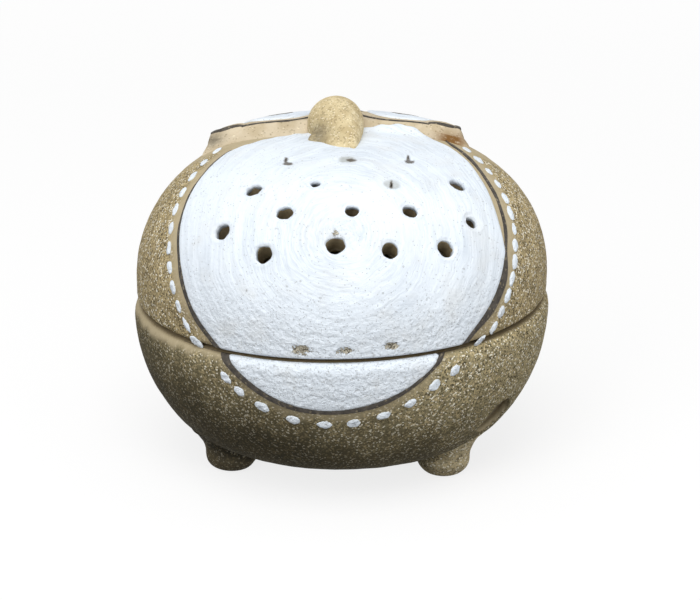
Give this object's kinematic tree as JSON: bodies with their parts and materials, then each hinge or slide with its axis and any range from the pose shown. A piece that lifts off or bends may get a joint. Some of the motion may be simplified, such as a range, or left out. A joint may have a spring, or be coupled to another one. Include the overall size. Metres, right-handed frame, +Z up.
{
  "type": "incense burner",
  "caption": "Round lidded stoneware incense burner shaped as an owl, on small feet, with a pierced lift-off lid and a raised collar that seats it.",
  "frame": {"origin": "on the table, under the middle of the bowl", "axes": "+Z up, the owl's white belly faces -Y, +X to the right of someone facing it"},
  "size_m": [0.073, 0.0734, 0.0618],
  "materials": {
    "bowl_clay": "matte sandy stoneware",
    "lid_clay": "matte sandy stoneware",
    "foot_clay": "matte stoneware",
    "head_clay": "smooth matte stoneware",
    "white_slip": "matte brushed slip",
    "iron_slip": "matte iron-brown slip"
  },
  "bodies": {
    "bowl": {"base_bowl": "bowl_clay", "foot_left": "foot_clay", "foot_right": "foot_clay", "foot_rear": "foot_clay", "belly_slip_base": "white_slip", "belly_line_base": "iron_slip", "dabs_base": "white_slip"},
    "lid": {"lid_shell": "lid_clay", "head_pad": "head_clay", "ear_left": "head_clay", "ear_right": "head_clay", "beak": "head_clay", "eye_left": "white_slip", "eye_right": "white_slip", "eye_line_left": "iron_slip", "eye_line_right": "iron_slip", "pupil_left": "iron_slip", "pupil_right": "iron_slip", "belly_slip_lid": "white_slip", "belly_line_lid": "iron_slip", "dabs_lid": "white_slip"}
  },
  "joints": [
    {"name": "lid_lift", "type": "slide", "parent": "bowl", "child": "lid", "axis": [0, 0, 1], "range_m": [0, 0.06]}
  ]
}
